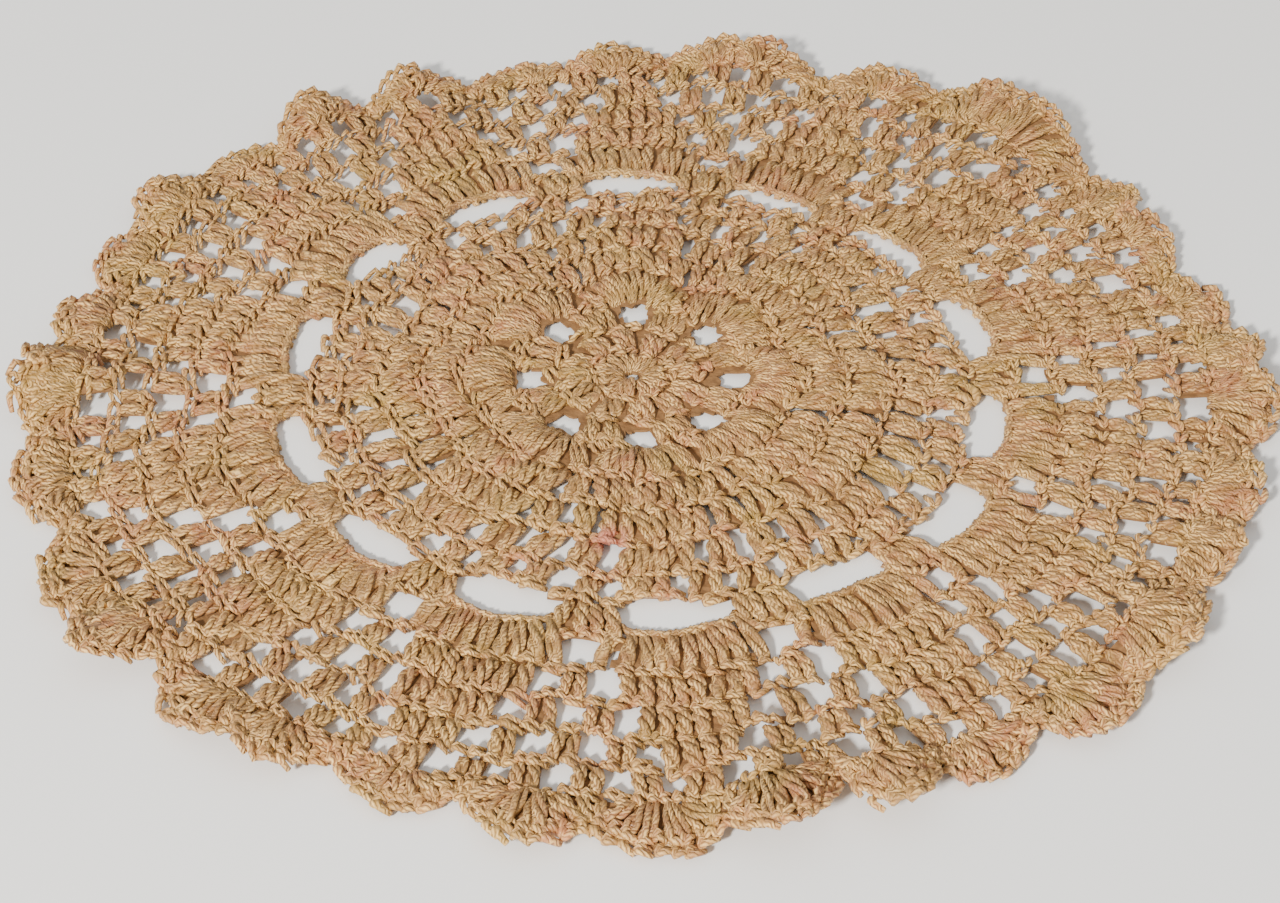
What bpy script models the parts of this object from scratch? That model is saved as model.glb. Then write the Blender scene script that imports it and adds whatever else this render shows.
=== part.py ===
"""Round crocheted lace doily, lying on a flat surface.

One thin cloth: a close-worked middle, a ring of fourteen large slots with a small gap
between each two, and an edge of thirty-five shells that ruffles up from the surface.
Metres, +Z up. The origin is the middle of the cloth, on its underside.
"""
import math

import bmesh
import bpy
import numpy as np
from mathutils.geometry import delaunay_2d_cdt

MM = 0.001
THICKNESS = 2.4 * MM            # a row of tall stitches, pressed by its own weight
SLOT_POINTS = 18                # points round a large slot
GAP_POINTS = 12                 # points round a small gap
SLOT_ROUNDING = 0.55            # below 1 squares off the ends of a slot
GAP_SPAN_DEG = 6.6              # width of a small gap, as seen from the middle
GAP_DEPTH = 5.0 * MM            # radial size of a small gap
EDGE_POINTS_PER_SHELL = 6
QUIET_RADIUS = 68.0 * MM        # inside this the cloth lies flat
QUIET_SPACING = 7.2 * MM        # point spacing where the cloth lies flat
RUFFLE_SPACING = 4.9 * MM       # point spacing where it ruffles
CLEARANCE = 0.55                # share of the spacing kept free beside outlines

# The large slots: bearing of the middle and span (degrees), inner and outer radius (mm),
# then bearing and inner radius of the small gap that follows each slot.
SLOTS = (
    # bearing, span, inner, outer, gap_bearing, gap_inner
    (14.7, 16.8, 61.2, 69.2, 29.2, 72.2),
    (40.2, 15.4, 62.0, 69.2, 53.4, 72.0),
    (65.0, 16.2, 61.2, 67.8, 78.4, 69.8),
    (91.5, 18.2, 60.0, 67.4, 105.4, 69.2),
    (119.5, 17.8, 57.6, 64.4, 134.0, 68.0),
    (145.0, 16.0, 57.4, 65.0, 160.0, 67.4),
    (173.0, 19.6, 57.2, 64.4, 188.8, 68.6),
    (202.0, 18.0, 59.8, 67.2, 216.6, 71.6),
    (227.8, 16.4, 61.6, 68.8, 240.4, 71.4),
    (251.7, 16.4, 61.2, 69.2, 265.0, 71.8),
    (277.6, 16.6, 61.8, 69.4, 290.8, 71.4),
    (303.5, 16.2, 61.0, 68.6, 315.0, 72.6),
    (325.5, 14.0, 63.8, 72.2, 338.0, 72.8),
    (347.5, 17.0, 61.8, 69.2, 3.0, 70.8),
)

# The edge shells: bearing (degrees) and radius (mm) of the tip, then of the dip after it.
SHELLS = (
    # tip_bearing, tip_radius, dip_bearing, dip_radius
    (5.4, 118.4, 9.0, 112.8),
    (14.3, 117.4, 19.2, 110.6),
    (25.3, 115.4, 29.6, 113.2),
    (33.2, 119.6, 37.6, 114.4),
    (45.8, 121.2, 49.0, 119.4),
    (51.5, 121.8, 56.4, 116.4),
    (62.9, 116.8, 68.6, 110.8),
    (77.2, 116.0, 79.6, 112.6),
    (81.9, 115.2, 87.4, 111.6),
    (93.6, 114.0, 98.8, 108.6),
    (103.2, 110.8, 110.4, 104.0),
    (118.0, 110.2, 122.8, 104.4),
    (129.4, 110.4, 135.8, 104.2),
    (141.0, 109.0, 146.4, 106.6),
    (151.7, 112.0, 156.4, 106.8),
    (161.8, 109.6, 168.4, 103.0),
    (174.6, 109.0, 179.0, 106.0),
    (182.4, 111.2, 184.6, 109.0),
    (187.4, 113.0, 192.0, 108.4),
    (199.6, 113.8, 206.6, 107.6),
    (215.5, 117.6, 219.6, 113.6),
    (223.7, 121.4, 227.0, 109.8),
    (235.2, 119.0, 238.4, 116.0),
    (240.9, 118.4, 246.0, 110.4),
    (252.3, 116.8, 257.6, 111.4),
    (263.4, 119.8, 268.0, 114.0),
    (274.2, 119.8, 278.6, 115.6),
    (282.5, 121.2, 288.8, 105.4),
    (291.6, 120.8, 296.4, 112.0),
    (300.7, 117.4, 306.6, 111.0),
    (311.2, 121.0, 317.0, 115.6),
    (322.8, 119.0, 329.6, 111.8),
    (335.6, 116.0, 338.8, 110.4),
    (343.7, 116.2, 351.0, 112.0),
    (358.0, 119.0, 361.8, 114.2),
)

# The ruffles: bearing and reach to either side (degrees), where the cloth leaves the
# surface (radius, mm) and how far the edge stands up there (mm).
RUFFLES = (
    # bearing, reach, start, lift
    (2.0, 10.0, 84.0, 4.2),
    (27.0, 9.0, 88.0, 3.2),
    (48.0, 14.0, 72.0, 8.2),
    (63.0, 9.0, 78.0, 4.6),
    (78.5, 11.0, 74.0, 6.0),
    (94.0, 7.0, 84.0, 2.4),
    (117.5, 7.5, 72.0, 5.0),
    (130.0, 7.0, 72.0, 6.0),
    (151.0, 8.0, 80.0, 3.0),
    (176.0, 8.0, 74.0, 3.4),
    (184.5, 6.5, 70.0, 6.2),
    (215.0, 6.0, 88.0, 2.2),
    (223.5, 7.0, 74.0, 6.4),
    (239.0, 8.0, 82.0, 3.6),
    (263.0, 6.5, 92.0, 2.2),
    (283.0, 7.5, 74.0, 7.4),
    (292.5, 6.5, 78.0, 6.8),
    (311.5, 8.0, 92.0, 2.6),
    (323.0, 9.0, 76.0, 5.6),
    (336.5, 6.0, 84.0, 4.0),
    (346.0, 7.5, 86.0, 3.2),
)


def columns(table):
    """The columns of a table, each as an array."""
    return np.array(table, dtype=float).T


TIP_BEARING, TIP_RADIUS, DIP_BEARING, DIP_RADIUS = columns(SHELLS)


def on_ring(radius, bearing_deg):
    """Points in the plane at the given radii and bearings."""
    turn = np.radians(bearing_deg)
    return np.stack([radius * np.cos(turn), radius * np.sin(turn)], axis=-1)


def ease(share):
    """Soft step from 0 to 1 as the share goes from 0 to 1."""
    share = np.clip(share, 0.0, 1.0)
    return share * share * (3.0 - 2.0 * share)


def edge_radius(bearing_deg):
    """Radius of the scalloped edge: each tip eases down into the dips on either side."""
    bearing = np.concatenate([TIP_BEARING, DIP_BEARING])
    radius = np.concatenate([TIP_RADIUS, DIP_RADIUS])
    order = np.argsort(bearing)
    bearing = bearing[order]
    radius = radius[order]
    wrapped = (np.asarray(bearing_deg) - bearing[0]) % 360.0 + bearing[0]
    bearing = np.append(bearing, bearing[0] + 360.0)
    radius = np.append(radius, radius[0])
    before = np.clip(np.searchsorted(bearing, wrapped, side="right") - 1, 0, len(bearing) - 2)
    share = (wrapped - bearing[before]) / (bearing[before + 1] - bearing[before])
    return (radius[before] + (radius[before + 1] - radius[before]) * ease(share)) * MM


def lift(points):
    """Height of the underside above the surface at each point of the flat layout."""
    radius = np.hypot(points[:, 0], points[:, 1])
    bearing = np.degrees(np.arctan2(points[:, 1], points[:, 0]))
    height = np.zeros(len(points))
    for middle, reach, start, rise in RUFFLES:
        aside = np.abs((bearing - middle + 180.0) % 360.0 - 180.0) / reach
        outward = (radius - start * MM) / (edge_radius(middle) - start * MM)
        outward = np.clip(outward, 0.0, 1.0)
        height = np.maximum(height, rise * MM * ease(1.0 - aside) * outward ** 1.6)
    return height


def rounded_opening(bearing_deg, span_deg, inner, outer, count):
    """Loop of a rounded slot that follows the ring it lies on."""
    turn = 2.0 * math.pi * np.arange(count) / count
    across = np.sign(np.cos(turn)) * np.abs(np.cos(turn)) ** SLOT_ROUNDING
    along = np.sign(np.sin(turn)) * np.abs(np.sin(turn)) ** SLOT_ROUNDING
    radius = (inner + outer) / 2 + (outer - inner) / 2 * along
    return on_ring(radius, bearing_deg + span_deg / 2 * across)


def openings():
    """Loops of the large slots and of the small gap that follows each of them."""
    loops = []
    for bearing, span, inner, outer, gap_bearing, gap_inner in SLOTS:
        foot = gap_inner * MM
        loops.append(rounded_opening(bearing, span, inner * MM, outer * MM, SLOT_POINTS))
        loops.append(rounded_opening(gap_bearing, GAP_SPAN_DEG, foot, foot + GAP_DEPTH, GAP_POINTS))
    return loops


def outline():
    """Loop of the scalloped edge, with points at every tip and dip."""
    ends = np.append(DIP_BEARING, DIP_BEARING[0] + 360.0)
    shares = np.arange(EDGE_POINTS_PER_SHELL // 2) / (EDGE_POINTS_PER_SHELL // 2)
    tips = np.append(TIP_BEARING[1:], TIP_BEARING[0] + 360.0)
    rising = ends[:-1, None] + (tips - ends[:-1])[:, None] * shares
    falling = tips[:, None] + (ends[1:] - tips)[:, None] * shares
    bearing = np.concatenate([rising, falling], axis=1).ravel()
    return on_ring(edge_radius(bearing), bearing)


def distance_to_loop(points, loop):
    """Shortest distance from each point to the sides of a closed loop."""
    start = loop[None, :, :]
    side = np.roll(loop, -1, axis=0)[None, :, :] - start
    offset = points[:, None, :] - start
    share = np.clip((offset * side).sum(-1) / (side * side).sum(-1), 0.0, 1.0)
    return np.linalg.norm(offset - share[..., None] * side, axis=-1).min(axis=1)


def inside_loop(points, loop):
    """True where a point lies inside a closed loop, by counting crossings."""
    x, y = points[:, 0, None], points[:, 1, None]
    x0, y0 = loop[:, 0], loop[:, 1]
    x1, y1 = np.roll(x0, -1), np.roll(y0, -1)
    spans = (y0 > y) != (y1 > y)
    crossing = x0 + (y - y0) * (x1 - x0) / np.where(y1 == y0, 1.0, y1 - y0)
    return (spans & (x < crossing)).sum(axis=1) % 2 == 1


def ring_points(first, last, spacing):
    """Points on staggered rings between two radii, about one spacing apart."""
    rings = max(1, round((last - first) / spacing))
    step = (last - first) / rings
    points = []
    for ring in range(rings):
        radius = first + (ring + 0.5) * step
        count = max(6, round(2.0 * math.pi * radius / spacing))
        points.append(on_ring(radius, 360.0 * (np.arange(count) + 0.5 * (ring % 2)) / count))
    return np.concatenate(points)


def flat_layout():
    """Points and triangles of the cloth laid out flat, with its openings left out."""
    loops = [outline()] + openings()
    quiet = ring_points(0.0, QUIET_RADIUS, QUIET_SPACING)
    ruffled = ring_points(QUIET_RADIUS, TIP_RADIUS.max() * MM, RUFFLE_SPACING)
    keep = []
    for points, spacing in ((quiet, QUIET_SPACING), (ruffled, RUFFLE_SPACING)):
        free = inside_loop(points, loops[0])
        for loop in loops:
            free &= distance_to_loop(points, loop) > CLEARANCE * spacing
        for loop in loops[1:]:
            free &= ~inside_loop(points, loop)
        keep.append(points[free])
    corners = np.concatenate(loops + keep)
    sides = []
    first = 0
    for loop in loops:
        index = first + np.arange(len(loop))
        sides += zip(index.tolist(), np.roll(index, -1).tolist())
        first += len(loop)
    triangulated = delaunay_2d_cdt(corners.tolist(), sides, [], 0, 1e-7)
    placed = np.array([tuple(corner) for corner in triangulated[0]])
    triangles = np.array(triangulated[2])
    middles = placed[triangles].mean(axis=1)
    cloth = inside_loop(middles, loops[0])
    for loop in loops[1:]:
        cloth &= ~inside_loop(middles, loop)
    return placed, triangles[cloth]


def crochet_material():
    """Tan mercerised cotton, slightly glossy along its strands."""
    material = bpy.data.materials.new("tan_cotton")
    material.use_nodes = True
    shader = material.node_tree.nodes["Principled BSDF"]
    shader.inputs["Base Color"].default_value = (0.578, 0.352, 0.188, 1.0)
    shader.inputs["Roughness"].default_value = 0.6
    shader.inputs["Metallic"].default_value = 0.0
    return material


def make_doily(collection):
    """The cloth: the flat layout raised into its ruffles, then thickened upward."""
    points, triangles = flat_layout()
    corners = np.column_stack([points, lift(points)])
    mesh = bpy.data.meshes.new("doily")
    mesh.from_pydata(corners.tolist(), [], triangles.tolist())
    shape = bmesh.new()
    shape.from_mesh(mesh)
    bmesh.ops.recalc_face_normals(shape, faces=shape.faces)
    up = sum(face.normal.z for face in shape.faces)
    if up < 0.0:
        bmesh.ops.reverse_faces(shape, faces=shape.faces)
    loose = [vertex for vertex in shape.verts if not vertex.link_faces]
    bmesh.ops.delete(shape, geom=loose, context="VERTS")
    shape.to_mesh(mesh)
    shape.free()
    cloth = bpy.data.objects.new("doily", mesh)
    cloth.data.materials.append(crochet_material())
    collection.objects.link(cloth)
    thickness = cloth.modifiers.new("thickness", "SOLIDIFY")
    thickness.thickness = THICKNESS
    thickness.offset = 1.0
    thickness.use_even_offset = True
    return cloth


def main():
    for item in list(bpy.data.objects):
        bpy.data.objects.remove(item, do_unlink=True)
    collection = bpy.data.collections.new("lace_doily")
    bpy.context.scene.collection.children.link(collection)
    make_doily(collection)


main()
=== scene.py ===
# %% [markdown]
# # A crocheted doily, stitch by stitch
#
# The real thing is one long cotton thread, worked round and round with a hook. A flat sheet
# with a lace picture on it would look wrong at every edge and in every hole, so here the
# thread itself is built. Each tall stitch is three strands wound about each other, each
# chain stitch is a bent loop, and tables say how many stitches stand where. Every stitch is
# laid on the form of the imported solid.

# %% Load the frame
import math

import bpy
import numpy as np
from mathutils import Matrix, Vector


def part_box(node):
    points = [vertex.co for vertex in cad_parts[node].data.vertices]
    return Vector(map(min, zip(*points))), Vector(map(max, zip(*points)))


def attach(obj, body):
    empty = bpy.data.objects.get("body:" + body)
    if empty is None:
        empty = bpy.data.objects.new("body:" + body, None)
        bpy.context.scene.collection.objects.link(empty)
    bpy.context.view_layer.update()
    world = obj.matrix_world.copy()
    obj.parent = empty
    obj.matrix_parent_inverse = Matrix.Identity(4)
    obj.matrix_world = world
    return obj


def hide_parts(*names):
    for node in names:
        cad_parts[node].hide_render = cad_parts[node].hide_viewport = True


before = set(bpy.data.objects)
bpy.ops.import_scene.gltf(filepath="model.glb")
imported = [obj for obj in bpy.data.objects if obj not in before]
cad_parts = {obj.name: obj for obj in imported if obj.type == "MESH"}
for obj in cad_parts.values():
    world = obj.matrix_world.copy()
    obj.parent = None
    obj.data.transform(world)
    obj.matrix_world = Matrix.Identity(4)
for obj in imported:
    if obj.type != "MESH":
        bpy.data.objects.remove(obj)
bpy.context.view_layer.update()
MM = 0.001
cloth_low, cloth_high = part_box("doily")
print("cloth, mm:", [round((b - a) / MM, 1) for a, b in zip(cloth_low, cloth_high)])

# %% [markdown]
# ## How the cloth lies
#
# A doily's chart has perfect rings, but hands pull some stitches tighter than others.
# Three tables hold that: the slots, the shells of the edge, and the ruffles where there is
# more edge than room for it. A smooth curve moves every stitch between their values.

# %% The slots, the shells and the ruffles
MID = 1.2 * MM  # height of the cloth's middle layer where it lies flat

# bearing of each slot and of the small gap after it (degrees), the slot's inner and outer
# radius and the radius of the edging's foot (mm)
SLOTS = (
    # bearing, inner, outer, gap_bearing, edging
    (14.7, 61.2, 69.2, 29.2, 107.5),
    (40.2, 62.0, 69.2, 53.4, 107.5),
    (65.0, 61.2, 67.8, 78.4, 108.0),
    (91.5, 60.0, 67.4, 105.4, 105.3),
    (119.5, 57.6, 64.4, 134.0, 102.4),
    (145.0, 57.4, 65.0, 160.0, 101.8),
    (173.0, 57.2, 64.4, 188.8, 98.6),
    (202.0, 59.8, 67.2, 216.6, 103.7),
    (227.8, 61.6, 68.8, 240.4, 107.2),
    (251.7, 61.2, 69.2, 265.0, 107.4),
    (277.6, 61.8, 69.4, 290.8, 107.8),
    (303.5, 61.0, 68.6, 315.0, 107.2),
    (325.5, 63.8, 72.2, 338.0, 106.2),
    (347.5, 61.8, 69.2, 3.0, 105.6),
)

# bearing (degrees) and radius (mm) of each shell's tip, then of the dip after it
SHELLS = (
    # tip_bearing, tip_radius, dip_bearing, dip_radius
    (5.4, 118.4, 9.0, 112.8),
    (14.3, 117.4, 19.2, 110.6),
    (25.3, 115.4, 29.6, 113.2),
    (33.2, 119.6, 37.6, 114.4),
    (45.8, 121.2, 49.0, 119.4),
    (51.5, 121.8, 56.4, 116.4),
    (62.9, 116.8, 68.6, 110.8),
    (77.2, 116.0, 79.6, 112.6),
    (81.9, 115.2, 87.4, 111.6),
    (93.6, 114.0, 98.8, 108.6),
    (103.2, 110.8, 110.4, 104.0),
    (118.0, 110.2, 122.8, 104.4),
    (129.4, 110.4, 135.8, 104.2),
    (141.0, 109.0, 146.4, 106.6),
    (151.7, 112.0, 156.4, 106.8),
    (161.8, 109.6, 168.4, 103.0),
    (174.6, 109.0, 179.0, 106.0),
    (182.4, 111.2, 184.6, 109.0),
    (187.4, 113.0, 192.0, 108.4),
    (199.6, 113.8, 206.6, 107.6),
    (215.5, 117.6, 219.6, 113.6),
    (223.7, 121.4, 227.0, 109.8),
    (235.2, 119.0, 238.4, 116.0),
    (240.9, 118.4, 246.0, 110.4),
    (252.3, 116.8, 257.6, 111.4),
    (263.4, 119.8, 268.0, 114.0),
    (274.2, 119.8, 278.6, 115.6),
    (282.5, 121.2, 288.8, 105.4),
    (291.6, 120.8, 296.4, 112.0),
    (300.7, 117.4, 306.6, 111.0),
    (311.2, 121.0, 317.0, 115.6),
    (322.8, 119.0, 329.6, 111.8),
    (335.6, 116.0, 338.8, 110.4),
    (343.7, 116.2, 351.0, 112.0),
    (358.0, 119.0, 361.8, 114.2),
)

# bearing and reach to either side (degrees), the radius where the cloth leaves the surface
# and the height of its edge (mm)
RUFFLES = (
    # bearing, reach, start, lift
    (2.0, 10.0, 84.0, 4.2),
    (27.0, 9.0, 88.0, 3.2),
    (48.0, 14.0, 72.0, 8.2),
    (63.0, 9.0, 78.0, 4.6),
    (78.5, 11.0, 74.0, 6.0),
    (94.0, 7.0, 84.0, 2.4),
    (117.5, 7.5, 72.0, 5.0),
    (130.0, 7.0, 72.0, 6.0),
    (151.0, 8.0, 80.0, 3.0),
    (176.0, 8.0, 74.0, 3.4),
    (184.5, 6.5, 70.0, 6.2),
    (215.0, 6.0, 88.0, 2.2),
    (223.5, 7.0, 74.0, 6.4),
    (239.0, 8.0, 82.0, 3.6),
    (263.0, 6.5, 92.0, 2.2),
    (283.0, 7.5, 74.0, 7.4),
    (292.5, 6.5, 78.0, 6.8),
    (311.5, 8.0, 92.0, 2.6),
    (323.0, 9.0, 76.0, 5.6),
    (336.5, 6.0, 84.0, 4.0),
    (346.0, 7.5, 86.0, 3.2),
)

# bearing of each of the eight petals of the middle (degrees)
PETALS = (-1.0, 44.6, 90.0, 138.0, 186.0, 233.0, 277.0, 318.4)

slot_bearing, slot_inner, slot_outer, gap_bearing, edging = np.array(SLOTS).T
tip_bearing, tip_radius, dip_bearing, dip_radius = np.array(SHELLS).T
print(len(SLOTS), "slots,", len(SHELLS), "shells,", len(RUFFLES), "ruffles")

# %% [markdown]
# ## From the chart to the cloth
#
# The chart counts rings in millimetres from the middle and bearings in degrees. One step
# slides a chart point round and outward, so that petals, slots and edging fall where they
# really are, and another lifts it onto the ruffles. Both work on whole arrays, so one call
# places every stitch of a row.

# %% Smooth curves round the ring
FIRST_SLOT = 17.5  # chart bearing of the first slot, degrees


def ease(share):
    """Soft step 3 s**2 - 2 s**3, with s held between 0 and 1."""
    share = np.clip(share, 0.0, 1.0)
    return share * share * (3.0 - 2.0 * share)


def fade(radius, start, end):
    """Soft step of a radius, from 0 at start to 1 at end."""
    return ease((radius - start) / (end - start))


def turn_from(start, bearing):
    """Degrees from one bearing to another the short way round, between -180 and 180."""
    return (bearing - start + 180.0) % 360.0 - 180.0


def neighbours(bearing, at):
    """The marks before and after each bearing on a closed ring, and the share of the way."""
    wrapped = np.asarray(bearing, float) % 360.0
    after = np.searchsorted(at, wrapped, side="right")
    one, two = (after - 1) % len(at), after % len(at)
    return one, two, ((wrapped - at[one]) % 360.0) / ((at[two] - at[one]) % 360.0)


def round_curve(bearing, at, value):
    """Closed curve through (at, value): between two marks, a cubic through four of them."""
    order = np.argsort(at % 360.0)
    at, value = (at % 360.0)[order], value[order]
    one, two, t = neighbours(bearing, at)
    p0, p1, p2, p3 = value[one - 1], value[one], value[two], value[(two + 1) % len(at)]
    bend = 2 * p0 - 5 * p1 + 4 * p2 - p3
    twist = 3 * p1 - p0 - 3 * p2 + p3
    return 0.5 * (2 * p1 + (p2 - p0) * t + bend * t**2 + twist * t**3)


def shift_from_even(bearings, first):
    """Bearings of an evenly divided ring, and how far the true ones are from them."""
    even = first + 360.0 * np.arange(len(bearings)) / len(bearings)
    return even, turn_from(even, bearings)


slot_even, slot_shift = shift_from_even(slot_bearing, FIRST_SLOT)
gap_even, gap_shift = shift_from_even(gap_bearing, FIRST_SLOT + 180.0 / len(SLOTS))
petal_even, petal_shift = shift_from_even(np.array(PETALS), 0.0)
ring_even = np.concatenate([slot_even, gap_even])
ring_shift = np.concatenate([slot_shift, gap_shift])
print("slots slide by", slot_shift.round(1), "degrees")

# %% The chart's rings
RINGS = {  # chart radius of each row's top, in mm
    "eye": 1.3, "row_1": 7.0, "row_2": 13.8, "row_3": 21.2, "fans": 30.8,
    "row_5": 38.6, "row_6": 46.6, "row_7": 54.4, "slots_in": 61.2, "slots_out": 69.2,
    "row_a": 79.2, "row_b": 86.6, "row_c": 93.9, "row_d": 101.0, "row_e": 107.4,
}
GROUP_PULL = 1.7  # the groups pull the slots' inner side outward by this, mm
PETAL_BULGE = 1.2  # a row bulges out over a petal by this, mm
FAN_BULGE = 0.7  # a row bulges out over an outer fan by this, mm
DRIFT_OUT = 1.05  # hand work drifts outward by up to this, mm
DRIFT_ROUND = 0.9  # and round the ring by up to this, mm
# waves round the ring, radians per mm outward, share of the phase
DRIFT_WAVES = ((17, 0.31, 1.0), (29, -0.23, 2.1), (43, 0.47, 3.7))
TIP_ROUNDNESS = 1.8  # power by which the edge rounds over at a shell's tip


def unit(vectors):
    """Vectors made one long."""
    return vectors / np.linalg.norm(vectors, axis=-1, keepdims=True)


def polar(radius, bearing):
    """Plane points from a radius and a bearing (degrees)."""
    turn = np.radians(bearing)
    return np.stack([radius * np.cos(turn), radius * np.sin(turn)], -1)


def wander(ring, bearing, phase):
    """Slow drift, -1 to 1: the mean of three sine waves that turn as they go outward."""
    turn = np.radians(bearing)
    waves = [np.sin(count * turn + slope * ring + share * phase) for count, slope, share in DRIFT_WAVES]
    return sum(waves) / len(waves)


def stretch(ring, low, high, inner, outer):
    """Straight line that takes the ring low to inner, and the ring high to outer."""
    return inner + (ring - low) * (outer - inner) / (high - low)


def chart_to_plane(ring, bearing):
    """Plane x, y of chart points.

    The bearing follows the petals inside the slots and the slots outside, with a soft step
    between. The radius is stretched between the fans, the slots' inner and outer sides and
    the foot of the edging, and rows bulge over each fan by a cosine of the bearing.
    """
    ring, bearing = np.broadcast_arrays(np.asarray(ring, float), np.asarray(bearing, float))
    outward = fade(ring, 46.0, 61.0)
    at_middle = fade(ring, 8.0, 22.0) * round_curve(bearing, petal_even, petal_shift)
    true = bearing + (1 - outward) * at_middle + outward * round_curve(bearing, ring_even, ring_shift)
    petal_wave = np.cos(np.radians(len(PETALS) * (bearing - petal_even[0])))
    slot_wave = np.cos(np.radians(len(SLOTS) * (bearing - slot_even[0])))
    inner = round_curve(true, slot_bearing, slot_inner) + GROUP_PULL * (0.5 - 0.5 * slot_wave)
    outer = round_curve(true, slot_bearing, slot_outer)
    foot = round_curve(true, slot_bearing, edging)
    fans, slots_in = RINGS["fans"], RINGS["slots_in"]
    slots_out, top = RINGS["slots_out"], RINGS["row_e"]
    radius = np.select(
        [ring < fans, ring < slots_in, ring < slots_out],
        [ring, stretch(ring, fans, slots_in, fans, inner), stretch(ring, slots_in, slots_out, inner, outer)],
        stretch(ring, slots_out, top, outer, foot))
    radius = radius + PETAL_BULGE * fade(ring, 18.0, 28.0) * fade(ring, 58.0, 44.0) * petal_wave
    radius = radius + FAN_BULGE * fade(ring, 71.0, 79.0) * fade(ring, 107.0, 99.0) * slot_wave
    loose = fade(ring, 0.0, 20.0)
    radius = radius + DRIFT_OUT * loose * wander(ring, bearing, 0.4)
    sideways = DRIFT_ROUND * loose * wander(ring, bearing, 1.9) / np.maximum(radius, 8.0)
    return polar(radius * MM, true + np.degrees(sideways))


def edge_radius(bearing):
    """Radius of the scalloped edge.

    From a dip to a tip it rises by 1 - (1 - s)**1.8, so tips are round and dips are sharp.
    """
    at = np.concatenate([tip_bearing, dip_bearing]) % 360.0
    order = np.argsort(at)
    at, radius = at[order], np.concatenate([tip_radius, dip_radius])[order]
    one, two, share = neighbours(bearing, at)
    rising, falling = 1.0 - (1.0 - share) ** TIP_ROUNDNESS, share**TIP_ROUNDNESS
    full = np.where(radius[two] > radius[one], rising, falling)
    return (radius[one] + (radius[two] - radius[one]) * full) * MM


# %% The lie of the cloth
PETAL_RISE = 1.3 * MM  # a petal's middle rises by this
PETAL_SPAN = 22.5  # degrees from a petal's middle to the crease beside it
SLOPE_STEP = 0.5 * MM  # the cloth's slope is measured over this


def radius_and_bearing(plane):
    """Radius (metres) and bearing (degrees) of plane points."""
    x, y = plane[..., 0], plane[..., 1]
    return np.hypot(x, y), np.degrees(np.arctan2(y, x))


def lift(plane):
    """Height of the underside: the highest ruffle wins, each a soft hill that rises outward."""
    radius, bearing = radius_and_bearing(plane)
    height = np.zeros(radius.shape)
    for middle, reach, start, rise in RUFFLES:
        aside = np.abs(turn_from(middle, bearing)) / reach
        outward = (radius - start * MM) / (edge_radius(middle) - start * MM)
        hill = rise * MM * ease(1.0 - aside) * np.clip(outward, 0.0, 1.05) ** 1.6
        height = np.maximum(height, hill)
    return height


def puff(plane):
    """How far the eight petals rise between their soft creases."""
    radius, bearing = radius_and_bearing(plane)
    nearest = np.min(np.abs(turn_from(np.array(PETALS), bearing[..., None])), axis=-1)
    across = np.cos(np.radians(np.clip(90.0 * nearest / PETAL_SPAN, 0, 90)))
    return PETAL_RISE * across * fade(radius / MM, 16.0, 28.0) * (1 - fade(radius / MM, 40.0, 56.0))


def drape(plane, height):
    """Points at a height above the cloth's middle layer, measured square to the cloth."""
    spots = plane, plane + [SLOPE_STEP, 0.0], plane + [0.0, SLOPE_STEP]
    here, right, back = [lift(spot) + puff(spot) for spot in spots]
    normal = unit(np.stack([here - right, here - back, np.full(here.shape, SLOPE_STEP)], -1))
    base = np.concatenate([plane, (here + MID)[..., None]], -1)
    return base + normal * np.asarray(height)[..., None], normal


fine = np.linspace(0.0, 360.0, 7201)
print("edge stands up to %.1f mm" % (lift(polar(edge_radius(fine), fine)).max() / MM))

# %% [markdown]
# ## Thread
#
# The yarn is thick mercerised cotton, three plies tightly twisted, a little over a
# millimetre across. A thread is a round profile carried along a path. Five sides are enough
# because the shading is smooth and the twist is a bump. All strands of a kind are swept in
# one go: the paths are an array of (strand, step, xyz), and the profile adds one more axis.

# %% Sweep many threads at once
SIDES = 5


def sweep(path, normal, girth):
    """Tubes round many paths.

    The profile's first axis is the path's direction crossed with the cloth's normal, and
    its second is square to both. A corner sits at path + girth * (cos a * first + sin a *
    second), for SIDES equal angles a.
    """
    ahead = unit(np.gradient(path, axis=1))
    side = unit(np.cross(ahead, normal))
    up = np.cross(side, ahead)
    angle = 2 * np.pi * np.arange(SIDES) / SIDES
    spoke = side[..., None, :] * np.cos(angle)[:, None] + up[..., None, :] * np.sin(angle)[:, None]
    corner = path[..., None, :] + spoke * girth[..., None, None]
    length = np.linalg.norm(np.diff(path, axis=1), axis=-1)
    along = np.concatenate([np.zeros((len(path), 1)), np.cumsum(length, axis=1)], axis=1)
    return corner, along


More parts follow.
